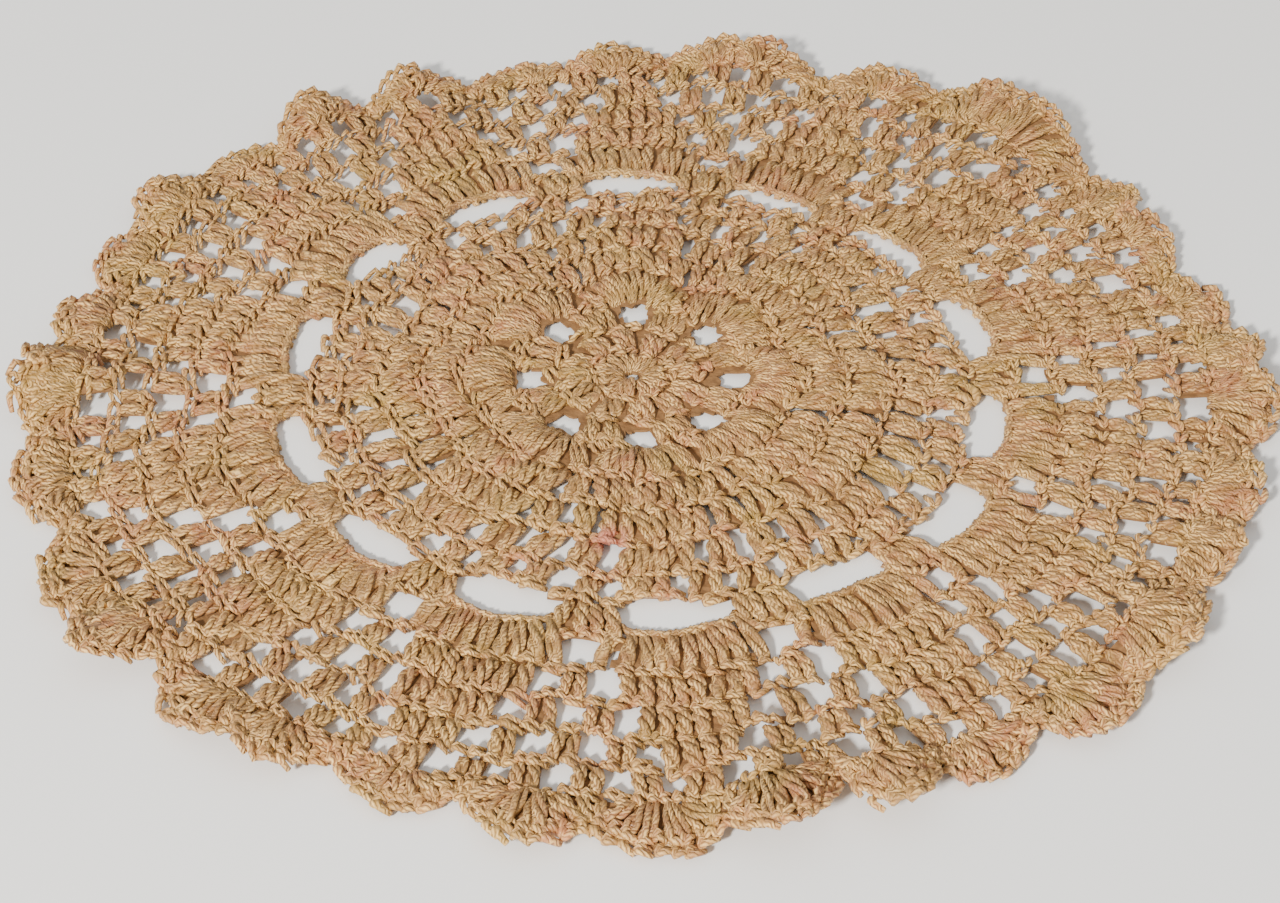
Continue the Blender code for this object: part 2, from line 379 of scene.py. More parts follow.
def tube_mesh(name, batches):
    """One mesh from swept batches, with quads along each tube and a cap at each end.

    Each batch is (corner, along, tone), with one tone for each strand. The UV map runs once
    round a strand, and along it in millimetres.
    """
    points, loops, counts, uvs, tones = [], [], [], [], []
    first = 0
    for corner, along, tone in batches:
        strands, steps = corner.shape[:2]
        index = first + np.arange(strands * steps * SIDES).reshape(strands, steps, SIDES)
        turned = np.roll(index, -1, axis=2)
        quad = np.stack([index[:, :-1], index[:, 1:], turned[:, 1:], turned[:, :-1]], -1)
        caps = np.stack([index[:, 0], index[:, -1, ::-1]], 1)
        u = (np.arange(SIDES)[:, None] + [0, 0, 1, 1]) / SIDES
        v = np.stack([along[:, :-1], along[:, 1:], along[:, 1:], along[:, :-1]], -1) / MM
        uv = np.stack(np.broadcast_arrays(u, v[:, :, None]), -1)
        points.append(corner.reshape(-1, 3))
        loops += [quad.reshape(-1), caps.reshape(-1)]
        counts += [np.full(quad.size // 4, 4), np.full(caps.size // SIDES, SIDES)]
        uvs += [uv.reshape(-1, 2), np.zeros((caps.size, 2))]
        tones.append(np.repeat(tone, steps * SIDES))
        first += index.size
    points, loops = np.concatenate(points), np.concatenate(loops)
    counts, uvs = np.concatenate(counts), np.concatenate(uvs)
    mesh = bpy.data.meshes.new(name)
    mesh.vertices.add(len(points))
    mesh.vertices.foreach_set("co", points.astype(np.float32).ravel())
    mesh.loops.add(len(loops))
    mesh.loops.foreach_set("vertex_index", loops.astype(np.int32))
    mesh.polygons.add(len(counts))
    start = np.concatenate([[0], np.cumsum(counts)[:-1]])
    mesh.polygons.foreach_set("loop_start", start.astype(np.int32))
    mesh.update(calc_edges=True)
    mesh.validate()
    uv_layer = mesh.uv_layers.new(name="thread")
    uv_layer.uv.foreach_set("vector", uvs.astype(np.float32).ravel())
    tone_layer = mesh.attributes.new("tone", "FLOAT", "POINT")
    tone_layer.data.foreach_set("value", np.concatenate(tones).astype(np.float32))
    mesh.shade_smooth()
    return mesh

# %% [markdown]
# ## Two stitches make all of it
#
# The **tall stitch** (a double crochet) is a post. The thread goes up and down it
# several times, so three strands show, wound loosely about each other like a plump grain
# with slanting creases. The **link** is the little loop that every stitch and every chain
# ends in. Its two legs show as two short slanting grains, and a row of links is a plait
# from which the next row grows. Both are formulas of one parameter along the strand, with
# small random differences, as in work made by hand.

# %% The tall stitch
rng = np.random.default_rng(31)
POST_STEPS = 10  # steps along a winding strand
BACK_STEPS = 5  # steps along the straight filling behind
WINDING = 3  # winding strands in a post
NARROWEST, WIDEST = 1.2, 3.6  # limits of a post's width, mm
SWAY, STAND = 0.30, 0.19  # how far a strand goes aside and out, as shares of the width
YARN, FILLING = 0.225, 0.38  # radii of a strand and of the filling, as shares of the width
YARN_LIMITS = 0.40 * MM, 0.60 * MM
FILLING_LIMITS = 0.45 * MM, 1.05 * MM
FILLING_DEPTH = 0.60 * MM  # the filling lies this far behind the strands' middle
ARCH = 0.45  # a post's middle stands out by this, mm
LOWEST = 0.20 * MM  # no strand goes nearer to the table than this


def column(value, count):
    """One value for each stitch, as a column."""
    return np.broadcast_to(np.ravel(np.asarray(value, float)), (count,))[:, None]


def beside(origin, heading, along, sway):
    """Plane points so far along a heading (degrees) from an origin, and so far to its right."""
    ahead, aside = polar(1.0, heading)[:, None], polar(1.0, heading - 90.0)[:, None]
    return origin[:, None] + ahead * along[..., None] + aside * sway[..., None]


def strand_batch(plane, stand, girth, *tones):
    """Draped and swept strands, none too near the table, each with a random tone from the given range; the
    links' higher range is a painted highlight.
    """
    path, normal = drape(plane, np.maximum(stand, LOWEST + girth - MID))
    return (*sweep(path, normal, girth), rng.uniform(*tones, len(plane)))


def posts(foot, top, foot_width, top_width, turns=0.8, bow=0.0, sink=1.1, raised=0.0):
    """The strands of each post, from plane points foot to top; widths are in mm.

    With t from 0 to 1 up the post and w its width there, three strands lie aside by
    SWAY w cos(2 pi turns (t - 0.5) + phase) and stand out by STAND w sin of the same angle,
    with phases a third of a turn apart. One more fills the post behind them. All arch by
    ARCH sin(pi t), and the foot falls by sink (1 - t / 0.2)**2, under the link below.
    """
    foot, top = foot.reshape(-1, 2), top.reshape(-1, 2)
    count = len(foot)
    foot = foot + rng.normal(0, 0.16 * MM, foot.shape)
    top = top + rng.normal(0, 0.34 * MM, top.shape)
    tall, heading = radius_and_bearing(top - foot)
    girthy = rng.normal(1.0, 0.07, count)[:, None]
    low, high = column(foot_width, count), column(top_width, count)
    bulge = rng.normal(0.0, 0.22 * MM, count)[:, None]
    spin = turns * rng.normal(1.0, 0.2, count)[:, None]
    start = rng.normal(0.5, 0.6, count)[:, None]
    bow, raised = column(bow, count), column(raised, count)
    strands = [(2 * np.pi * k / WINDING, 1.0, POST_STEPS) for k in range(WINDING)]
    batches = []
    for phase, out, steps in strands + [(0.0, 0.0, BACK_STEPS)]:
        t = np.linspace(0.0, 1.0, steps)
        wide = np.clip((low + (high - low) * t) * girthy, NARROWEST, WIDEST)
        wide = wide * (0.80 + 0.20 * ease(t / 0.45)) * MM
        swell = np.sin(np.pi * np.clip(0.16 + 0.74 * t, 0, 1)) ** 0.5
        arch = ARCH * (np.sin(np.pi * t) - np.clip((t - 0.80) / 0.20, 0, 1)) * MM
        arch = arch + bulge + (raised - sink * np.clip(1 - t / 0.2, 0, 1) ** 2) * MM
        angle = 2 * np.pi * spin * (t - 0.5) + start + phase
        sway = out * SWAY * wide * swell * np.cos(angle) + bow * np.sin(np.pi * t)
        stand = out * STAND * wide * swell * np.sin(angle) + arch - (1 - out) * FILLING_DEPTH
        yarn, filling = np.clip(YARN * wide, *YARN_LIMITS), np.clip(FILLING * wide, *FILLING_LIMITS)
        girth = (out * yarn + (1 - out) * filling) * (0.70 + 0.30 * swell)
        girth = girth * (1 - 0.35 * np.clip(1 - t / 0.06, 0, 1))
        batches.append(strand_batch(beside(foot, heading, tall[:, None] * t, sway), stand, girth, 0, 1))
    return batches


def gap_to_next(points):
    """Distance (mm) from each point to the next one in its row; the last repeats its own."""
    step = np.linalg.norm(np.diff(points, axis=-2), axis=-1) / MM
    return np.concatenate([step, step[..., -1:]], axis=-1)


# %% The link
LINK_STEPS = 9
LINK_PITCH = 2.6 * MM
SHORTEST, LONGEST = 1.9 * MM, 3.3 * MM  # limits of a link's length


def links(middle, ahead, pitch, slant=0.30, height=0.95, wide=1.05, yarn=0.57):
    """One bent loop for each link, in the plane at middle, pointing ahead.

    With s from -1 to 1 and p the pitch, the loop runs p (1.1 s**2 - 0.5) along and
    wide s (1.3 - 0.55 s**2) aside, so it is a V with a round head. It stands up by height
    times sin(pi s)**2: the head and both ends dive, and each leg shows as a grain.
    """
    count = len(middle)
    s = np.linspace(-1.0, 1.0, LINK_STEPS)
    heading = radius_and_bearing(ahead)[1] + np.degrees(slant + rng.normal(0.0, 0.36, count))
    size = rng.normal(1.0, 0.12, count)[:, None]
    along = column(pitch, count) * size * (1.1 * s**2 - 0.5)
    sway = wide * MM * size * s * (1.3 - 0.55 * s**2) * rng.normal(1.0, 0.1, count)[:, None]
    crest = rng.normal(1.0, 0.28, count)[:, None] * np.sin(np.pi * s) ** 2
    stand = (height * crest - 0.10 + 0.2 * s - 0.45 * s**6) * MM
    middle = middle + rng.normal(0, 0.36 * MM, middle.shape)
    girth = yarn * MM * (0.72 + 0.28 * np.sin(np.pi * s) ** 2) * size
    # The links' tones, 0.7 to 1.9, are higher than the posts' 0 to 1: a painted highlight that lightens the
    # raised loops.
    return [strand_batch(beside(middle, heading, along, sway), stand, girth, 0.7, 1.9)]


def row_links(ring, bearings, **shape):
    """A closed row of links at given bearings, each as long as its share of the row."""
    bearing = np.sort(np.asarray(bearings, float).ravel() % 360.0)
    middle = chart_to_plane(ring, bearing)
    ahead = np.roll(middle, -1, axis=0) - np.roll(middle, 1, axis=0)
    pitch = np.clip(np.linalg.norm(ahead, axis=-1) / 2, SHORTEST, LONGEST)
    return links(middle, ahead, pitch, **shape)


def chain(ring, centre, half, **shape):
    """Links along an arc of a chart ring, as many as fit to either side of its centre."""
    arc = chart_to_plane(ring, np.linspace(centre - half, centre + half, 60))
    length = np.linalg.norm(np.diff(arc, axis=0), axis=-1).sum()
    count = max(1, int(round(length / LINK_PITCH)))
    step = 2 * half / count
    bearing = centre - half + step * (np.arange(count) + 0.5)
    ahead = chart_to_plane(ring, bearing + 0.4 * step) - chart_to_plane(ring, bearing - 0.4 * step)
    return links(chart_to_plane(ring, bearing), ahead, length / count, **shape)


# %% [markdown]
# ## The rows
#
# Every solid fan follows one rule: each row is two stitches narrower, while the mesh
# beside it gains one hole. One function lays a row from that rule, for the eight petals of
# the middle and for the fourteen fans outside. Each stitch ends in one link, and one or
# two loose links bridge a hole.

# %% A row of fans and mesh
PLUMP = 1.1  # a post of a close group is this much wider than its place
PILLAR_SIDE = 1.25  # yarn that stands out past each stitch of a mesh pillar, mm
FOOT_IN, TOP_OUT = 0.5, 0.4  # a row stands this far above the last plait and below its own, mm
ZONES = "middle", "slot", "outer", "edge"
pieces = {zone + kind: [] for zone in ZONES for kind in ("_stitches", "_links")}
holes = []  # inner ring, outer ring, bearing, half width, squareness


def solid_posts(foot_ring, top_ring, feet, tops, **shape):
    """Posts of close groups: bearings are (group, stitch), and each post is as wide as its place."""
    foot, top = chart_to_plane(foot_ring, feet), chart_to_plane(top_ring, tops)
    return posts(foot, top, PLUMP * gap_to_next(foot), PLUMP * gap_to_next(top), **shape)


def fan_row(foot_ring, top_ring, motifs, first, solid, foot_half, top_half, pillars, apart):
    """Stitches of a row, its holes (bearings and half width) and its links' bearings.

    Each motif has its solid stitches spread over a half width (degrees) at foot and top,
    then pillars of two stitches, so many mm apart, evenly up to the next motif.
    """
    sector = 360.0 / motifs
    middle = first + sector * np.arange(motifs)[:, None]
    fan = np.linspace(-1, 1, solid)[None]
    batches = solid_posts(foot_ring - 0.1, top_ring + 0.1, middle + fan * foot_half,
                          middle + fan * top_half, sink=0.9)
    degree = math.degrees(1.0 / ((foot_ring + top_ring) / 2))
    edge = top_half + PILLAR_SIDE * degree
    pillar_width = (apart + 2 * PILLAR_SIDE) * degree
    hole = (sector - 2 * edge - pillars * pillar_width) / (pillars + 1)
    place = np.arange(pillars + 1)
    opening = (middle + edge + hole * (place + 0.5) + pillar_width * place).ravel()
    centre = (middle + edge + hole * place[1:] + pillar_width * (place[1:] - 0.5)).reshape(-1, 1)
    pair = np.array([-0.5, 0.5]) * apart * degree
    foot = chart_to_plane(foot_ring, centre + pair * 0.9)
    top = chart_to_plane(top_ring, centre + pair)
    waist = np.tile([0.2, -0.2], len(centre)) * MM
    batches += posts(foot, top, apart * 1.05, apart * 1.1, bow=waist)
    bridging = max(1, round(hole / degree * MM / LINK_PITCH))
    bridge = hole * (np.arange(bridging) + 0.5 - bridging / 2) / bridging
    ends = [(middle + fan * top_half).ravel(), (centre + pair).ravel(), (opening[:, None] + bridge).ravel()]
    return batches, opening, hole / 2, np.concatenate(ends)


MIDDLE_ROWS = (
    # foot ring, top ring, solid stitches, half width at foot and at top (degrees), pillars
    ("fans", "row_5", 9, 16.2, 14.8, 1),
    ("row_5", "row_6", 7, 11.8, 10.6, 2),
    ("row_6", "row_7", 5, 6.8, 5.8, 3),
    ("row_7", "slots_in", 3, 2.9, 2.6, 4),
)
OUTER_ROWS = (
    ("row_a", "row_b", 8, 7.2, 7.0, 1),
    ("row_b", "row_c", 6, 4.9, 4.8, 2),
    ("row_c", "row_d", 4, 2.6, 2.6, 3),
    ("row_d", "row_e", 2, 0.8, 0.8, 4),
)
BOX = 6.0  # how square an opening is: 2 is an ellipse, 6 nearly a box
HOLE_GROWTH = 0.2  # a mesh hole reaches this far under the plaits beside it, mm
SLOT_BORDER = 1.0  # the plait along a slot's inner side lies this far inside it, mm


def lay_rows(zone, rows, motifs, first, apart, **shape):
    """Lay the rows of one zone, note their holes, and top each row with links."""
    for low, high, solid, foot_half, top_half, pillars in rows:
        inner = RINGS[low]
        outer = RINGS[high] - (SLOT_BORDER if high == "slots_in" else 0.0)
        batches, openings, half, ends = fan_row(inner + FOOT_IN, outer - TOP_OUT, motifs, first, solid,
                                                foot_half, top_half, pillars, apart)
        pieces[zone + "_stitches"] += batches
        pieces[zone + "_links"] += row_links(outer, ends, **shape)
        holes.extend((inner - HOLE_GROWTH, outer + HOLE_GROWTH, at, half, BOX) for at in openings)
        print(f"{low} to {high}: {len(ends)} links, {len(openings)} holes")


lay_rows("middle", MIDDLE_ROWS, len(PETALS), petal_even[0], apart=2.5, wide=1.25, yarn=0.61)
lay_rows("outer", OUTER_ROWS, len(SLOTS), slot_even[0], apart=2.25)

# %% [markdown]
# ## The eye and the first rounds
#
# The work starts at a tiny ring. Three close rounds widen it: the second in pairs and the
# third in eight groups with a small hole between each two, from which the fans grow.

# %% The first rounds
EYE_ROUNDS = (
    # foot ring, top ring, stitches, leaning of each pair (degrees)
    ("eye", "row_1", 16, 0.0),
    ("row_1", "row_2", 24, 2.2),
)
for low, high, count, pair in EYE_ROUNDS:
    bearing = 360.0 * np.arange(count)[None] / count
    ends = bearing + pair * np.where(np.arange(count) % 2 == 0, 1.0, -1.0)
    pieces["middle_stitches"] += solid_posts(RINGS[low] + 0.1, RINGS[high] - 0.4, bearing, ends)
    pieces["middle_links"] += row_links(RINGS[high], ends)

GROUP_POSTS = 4
GROUP_HALF = 8.6  # half width of a group of the third round, degrees
group_middle = petal_even + 180.0 / len(PETALS)
bearing = group_middle[:, None] + np.linspace(-GROUP_HALF, GROUP_HALF, GROUP_POSTS)
pieces["middle_stitches"] += solid_posts(RINGS["row_2"] + 0.2, RINGS["row_3"] - 0.2, bearing, bearing)
for centre in group_middle:
    for beyond in (-0.2, 2.0):
        pieces["middle_links"] += chain(RINGS["row_3"] + beyond, centre, GROUP_HALF + 3.0)
holes += [(RINGS["row_2"] + 1.9, RINGS["row_3"] + 0.3, centre, 6.8, 2.2) for centre in petal_even]

PETAL_POSTS = 11
PETAL_FOOT, PETAL_TOP, PETAL_RIM = 12.5, 20.4, 21.0  # half widths of a petal, degrees
share = np.linspace(-1.0, 1.0, PETAL_POSTS)
foot = chart_to_plane(RINGS["row_3"] + 0.5 - 0.9 * share**2, petal_even[:, None] + share * PETAL_FOOT)
top = chart_to_plane(RINGS["fans"] - 0.5 - 0.6 * share**4, petal_even[:, None] + share * PETAL_TOP)
pieces["middle_stitches"] += posts(foot, top, gap_to_next(foot).clip(1.2, 2.0), PLUMP * gap_to_next(top),
                                   turns=0.6, sink=0.9, raised=0.15)
pieces["middle_links"] += row_links(RINGS["fans"], petal_even[:, None] + share * PETAL_RIM)
print(len(PETALS) * (GROUP_POSTS + PETAL_POSTS), "stitches in the groups and petals")

# %% [markdown]
# ## The ring of slots
#
# Between the slots stand groups of four tall stitches, each closed by a short plait. Over
# each slot lies a bare arch of chain, and the next row's feet curl round it.

# %% The groups between the slots
SLOT_HALF = 8.5  # half width of a slot, degrees
SLOT_POWER = 2.2  # how square a slot is: 2 is an ellipse
slot_middle = (RINGS["slots_in"] + RINGS["slots_out"]) / 2
slot_depth = (RINGS["slots_out"] - RINGS["slots_in"]) / 2
group = np.linspace(-1, 1, GROUP_POSTS)
pieces["slot_stitches"] += solid_posts(RINGS["slots_in"] - 0.5, RINGS["slots_out"] + 1.6,
                                       gap_even[:, None] + group * 2.9, gap_even[:, None] + group * 4.1)
for centre in gap_even:
    pieces["slot_links"] += chain(RINGS["slots_out"] + 2.1, centre, 5.0, yarn=0.62)


def slot_side(share):
    """Ring of a slot's outer side, a squared ellipse; share runs from -1 to 1 along the slot."""
    return slot_middle + slot_depth * (1.0 - np.abs(share) ** SLOT_POWER) ** (1.0 / SLOT_POWER)


# %% The fans round the slots
FAN_POSTS = 10
share = np.linspace(-1.0, 1.0, FAN_POSTS)
foot = chart_to_plane(slot_side(share * 0.97) - 0.15, slot_even[:, None] + share * 8.3)
ends = slot_even[:, None] + share * (8.6 + 1.4 * np.abs(share) ** 3)
top = chart_to_plane(RINGS["row_a"] - 0.4, ends)
pieces["slot_stitches"] += posts(foot, top, gap_to_next(foot).clip(1.9, 2.5), PLUMP * gap_to_next(top),
                                 turns=0.6, sink=0.9)
bridge = gap_even[:, None] + np.array([-1.8, 0.0, 1.8])
pieces["slot_links"] += row_links(RINGS["row_a"], np.concatenate([ends.ravel(), bridge.ravel()]))

# %% The bare arch of chain that their feet are worked round
ARCH_STEPS = 26
ARCH_TURNS = 4.5  # turns of its two strands to either side of the middle
share = np.linspace(-1.0, 1.0, ARCH_STEPS)
arch = chart_to_plane(slot_side(share * 0.985) + 0.75, slot_even[:, None] + share * 8.6)
for phase in (0.0, math.pi):
    turn = 2 * math.pi * ARCH_TURNS * share + phase
    plane = arch + unit(arch) * (0.42 * MM * np.cos(turn))[:, None]
    girth = np.full(arch.shape[:2], 0.62 * MM)
    pieces["slot_links"].append(strand_batch(plane, (0.05 + 0.3 * np.sin(turn)) * MM, girth, 0.2, 1.0))
holes += [(RINGS["slots_in"] - 0.6, RINGS["slots_out"] + 1.0, at, SLOT_HALF, 5.0) for at in slot_even]
holes += [(RINGS["slots_out"] + 2.6, RINGS["row_a"] - 0.3, at, 4.1, 2.6) for at in gap_even]
print(len(holes), "openings in all")

# %% [markdown]
# ## The shell edge
#
# The last round is a row of shells: seven tall stitches spread like a fan out of one narrow
# stem, with a plait round the rim and short stitches pulled down between two shells. The
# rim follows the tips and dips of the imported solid.

# %% The shells
SHELL_POSTS = 7
ROOT_SHARE = 0.36  # width of a shell at its root, as a share of its rim


def foot_radius(bearing):
    """Radius of the plait on which the edging stands."""
    return round_curve(bearing, slot_bearing, edging) * MM


left = (tip_bearing - np.roll(dip_bearing, 1)) % 360.0
right = (dip_bearing - tip_bearing) % 360.0
share = np.linspace(-0.93, 0.93, SHELL_POSTS)
rim_bearing = tip_bearing[:, None] + np.where(share < 0, share * left[:, None], share * right[:, None])
root_bearing = tip_bearing[:, None] + ROOT_SHARE * (rim_bearing - tip_bearing[:, None])
rim = polar(edge_radius(rim_bearing) - 1.9 * MM, rim_bearing)
root = polar(foot_radius(root_bearing) + (np.abs(share) - 0.7) * MM, root_bearing)
lean = np.tile(share, len(SHELLS)) * 0.9 * MM
pieces["edge_stitches"] += posts(root, rim, gap_to_next(root).clip(1.3, 2.2),
                                 PLUMP * gap_to_next(rim).clip(2.5, 3.6), bow=lean, turns=0.7, raised=0.3)

# %% Four short stitches in each dip, feet apart and tops drawn together
width_left = right * (1 - ROOT_SHARE)
width_right = np.roll(left, -1) * (1 - ROOT_SHARE)
aside = np.stack([-0.80 * width_left, -0.28 * width_left, 0.28 * width_right, 0.80 * width_right], -1)
drawn = np.array([-1.5, -0.5, 0.5, 1.5])
dip_base = foot_radius(dip_bearing)[:, None]
dip_foot = polar(dip_base - 0.1 * MM, dip_bearing[:, None] + aside)
dip_reach = np.maximum(edge_radius(dip_bearing)[:, None] - 1.5 * MM, dip_base + 2.4 * MM)
pieces["edge_stitches"] += posts(dip_foot, polar(dip_reach, dip_bearing[:, None] + drawn), 2.6, 2.0,
                                 turns=0.5, raised=-0.1)
print(len(SHELLS) * (SHELL_POSTS + len(drawn)), "stitches in the edge")

# %% The rim's two plaits
RIM_PLAITS = ((1.1, 0.9), (3.1, 1.1))  # how far inside the edge (mm), height
RIM_PITCH = 2.45 * MM
for inset, stature in RIM_PLAITS:
    line = polar(edge_radius(fine) - inset * MM, fine)
    length = np.concatenate([[0], np.cumsum(np.linalg.norm(np.diff(line, axis=0), axis=-1))])
    count = int(round(length[-1] / RIM_PITCH))
    at = length[-1] * (np.arange(count) + 0.5) / count
    here, onward = [np.stack([np.interp(along, length, line[:, k]) for k in (0, 1)], -1)
                    for along in (at, at + 0.6 * MM)]
    pieces["edge_links"] += links(here, onward - here, LINK_PITCH, height=stature, wide=1.2, yarn=0.68)
    print(count, "links in a plait of the rim")

# %% [markdown]
# ## The ground of the cloth
#
# Between the stitches one sees the backs of the strands. A thin ground sheet on the same
# folds stands for them. It is a grid of ring and bearing, with the faces inside every hole
# left out, then thickened. It also says how large the cloth is laid flat.

# %% The ground sheet
TUCKED = 0.7  # the ground ends this far under the stitches round a hole, mm
GROUND_STEP = 1.6  # no two rings of the grid are further apart, mm
INNER_SPOKES, OUTER_SPOKES = 240, 420
GROUND_DEPTH = 0.35 * MM  # how far the ground lies below the middle layer
GROUND_THICKNESS = 0.45 * MM


def in_a_hole(ring, bearing):
    """True where a chart point is in an opening: |x|**p + |y|**p is below 1 across and along it."""
    inside = False
    for inner, outer, centre, half, power in holes:
        aside = np.abs(turn_from(centre, bearing)) / (half + np.degrees(TUCKED / np.maximum(ring, 10.0)))
        along = np.abs(ring - (inner + outer) / 2) / ((outer - inner) / 2)
        inside = inside | (aside**power + along**power < 1.0)
    return inside


def ground_grid(rings, divisions, to_plane):
    """Points and kept quads of a ring-by-bearing grid."""
    bearing = 360.0 * np.arange(divisions) / divisions
    plane = to_plane(rings[:, None], bearing[None, :])
    index = np.arange(len(rings) * divisions).reshape(len(rings), divisions)
    turned = np.roll(index, -1, axis=1)
    quads = np.stack([index[:-1], index[1:], turned[1:], turned[:-1]], -1)
    ring_mid = (rings[:-1] + rings[1:])[:, None] / 2
    return plane.reshape(-1, 2), quads[~in_a_hole(ring_mid, bearing + 180.0 / divisions)]


def edging_plane(ring, bearing):
    """Chart points, and past the last row the way out to the scalloped edge."""
    radius, true = radius_and_bearing(chart_to_plane(np.minimum(ring, RINGS["row_e"]), bearing))
    out = np.clip((ring - RINGS["row_e"]) / 10.0, 0.0, 1.0)
    return polar(radius + out * (edge_radius(true) - 1.6 * MM - radius), true)


def finest(marks):
    """Ring radii through the given marks, no further apart than the grid's step."""
    parts = [np.linspace(a, b, max(2, round((b - a) / GROUND_STEP) + 1))[:-1]
             for a, b in zip(marks, marks[1:])]
    return np.concatenate(parts + [[marks[-1]]])


def ground_mesh():
    """Two grids, a coarse one inside the slots and a fine one outside, and their flat size."""
    marks, border = list(RINGS.values()), RINGS["slots_in"]
    inner_marks = [m + d for m in marks if m < border for d in (0.0, 0.9)] + [border - 0.9, border]
    outer_marks = [border] + [m + d for m in marks if m > border for d in (-0.9, 0.9)] + [112.0, 117.0]
    inner_plane, inner_quads = ground_grid(finest(inner_marks), INNER_SPOKES, chart_to_plane)
    outer_plane, outer_quads = ground_grid(finest(outer_marks), OUTER_SPOKES, edging_plane)
    plane = np.concatenate([inner_plane, outer_plane])
    quads = np.concatenate([inner_quads, outer_quads + len(inner_plane)])
    used, compact = np.unique(quads, return_inverse=True)
    quads = compact.reshape(quads.shape)
    points, _ = drape(plane[used], np.full(len(used), -GROUND_DEPTH))
    mesh = bpy.data.meshes.new("ground_cloth")
    mesh.from_pydata(points.tolist(), [], quads.tolist())
    mesh.update()
    corner = plane[used][quads]
    one, two = corner[:, 2] - corner[:, 0], corner[:, 3] - corner[:, 1]
    flat_area = float(np.abs(one[:, 0] * two[:, 1] - one[:, 1] * two[:, 0]).sum() / 2)
    print("ground: %d faces, flat area %.5f m2" % (len(quads), flat_area))
    return mesh, flat_area


cloth_mesh, flat_area = ground_mesh()

# %% [markdown]
# ## Finishes
#
# The cotton is tan, with a soft sheen where a ply turns to the light; on the plies' crests it is a
# painted highlight, a paler colour. The plies wind round each strand, fine fibres roughen them,
# and the colour drifts, rosier in one place and more olive in another, with tiny pale specks of
# painted highlight. In the seams the tan turns to a warm brown, painted shade warmed like light
# bounced from yarn to yarn. The ground behind the stitches is a darker brown, painted shade too.

# %% Helpers for nodes
def add_node(tree, kind, inputs, **settings):
    """A shader node of a kind; each input is set to a value or linked to a socket."""
    node = tree.nodes.new("ShaderNode" + kind)
    for name, value in settings.items():
        setattr(node, name, value)
    for key, value in inputs.items():
        if isinstance(value, bpy.types.NodeSocket):
            tree.links.new(value, node.inputs[key])
        else:
            node.inputs[key].default_value = value
    return node


def maths(tree, operation, *values, clamp=False):
    """Output of a Math node whose inputs are numbers or sockets."""
    return add_node(tree, "Math", dict(enumerate(values)), operation=operation, use_clamp=clamp).outputs[0]


def mix_colour(tree, share, first, second, blend="MIX"):
    """Output of a colour Mix node; its share and colours are sockets or values."""
    inputs = {0: share, 6: first, 7: second}
    return add_node(tree, "Mix", inputs, data_type="RGBA", blend_type=blend).outputs[2]


def noise(tree, where, scale, detail=2.0):
    """Output of a Noise Texture at a place."""
    return add_node(tree, "TexNoise", {"Vector": where, "Scale": scale, "Detail": detail}).outputs[0]


def ramp(tree, value, low, high, top=1.0):
    """A value from low to high, mapped to 0 to top."""
    inputs = {"Value": value, "From Min": low, "From Max": high, "To Max": top}
    return add_node(tree, "MapRange", inputs).outputs[0]


def new_group(name, inputs, outputs):
    """A node group with its named inputs and outputs."""
    group = bpy.data.node_groups.new(name, "ShaderNodeTree")
    for label, kind, value in inputs:
        socket = group.interface.new_socket(label, in_out="INPUT", socket_type="NodeSocket" + kind)
        if value is not None:
            socket.default_value = value
    for label, kind in outputs:
        group.interface.new_socket(label, in_out="OUTPUT", socket_type="NodeSocket" + kind)
    return group, group.nodes.new("NodeGroupInput").outputs, group.nodes.new("NodeGroupOutput").inputs


# %% A group for twisted plies
def ply_group():
    """Height and seams of three plies wound round a strand.

    The wave is sin(2 pi (plies u + v / lay)), with u once round the strand and v in
    millimetres along it. Its absolute value gives round plies with sharp seams.
    """
    group, takes, gives = new_group(
        "twisted_plies", [("Thread", "Vector", None), ("Plies", "Float", 1.5),
                          ("Lay", "Float", 2.6), ("Fibre", "Float", 0.4)],
        [("Height", "Float"), ("Seam", "Float")])
    parts = add_node(group, "SeparateXYZ", {0: takes["Thread"]}).outputs
    turns = maths(group, "MULTIPLY", parts[0], takes["Plies"])
    wound = maths(group, "ADD", turns, maths(group, "DIVIDE", parts[1], takes["Lay"]))
    drift = maths(group, "MULTIPLY", noise(group, takes["Thread"], 0.55), 1.6)
    angle = maths(group, "MULTIPLY", maths(group, "ADD", wound, drift), 2 * math.pi)
    wave = maths(group, "ABSOLUTE", maths(group, "SINE", angle))
    round_ply = maths(group, "POWER", wave, 0.6)
    stretched = add_node(group, "CombineXYZ", {0: maths(group, "MULTIPLY", wound, 2.2),
                                               1: maths(group, "MULTIPLY", parts[1], 0.35)})
    fibre = noise(group, stretched.outputs[0], 9.0, detail=3.0)
    rough = maths(group, "MULTIPLY", fibre, takes["Fibre"])
    group.links.new(maths(group, "ADD", round_ply, rough), gives["Height"])
    group.links.new(maths(group, "SUBTRACT", 1.0, round_ply, clamp=True), gives["Seam"])
    return group


# %% A group for the cotton's colour
PATCHES = (
    # colour, scale, low, high, offset, strength
    ("Rosy", 120.0, 0.45, 0.68, 0.0, 1.0),
    ("Olive", 75.0, 0.50, 0.72, 7.3, 1.0),
    # The pale specks are a painted highlight, mixed in the highlight colour.
    ("Highlight", 900.0, 0.45, 0.75, 3.1, 0.30),
)


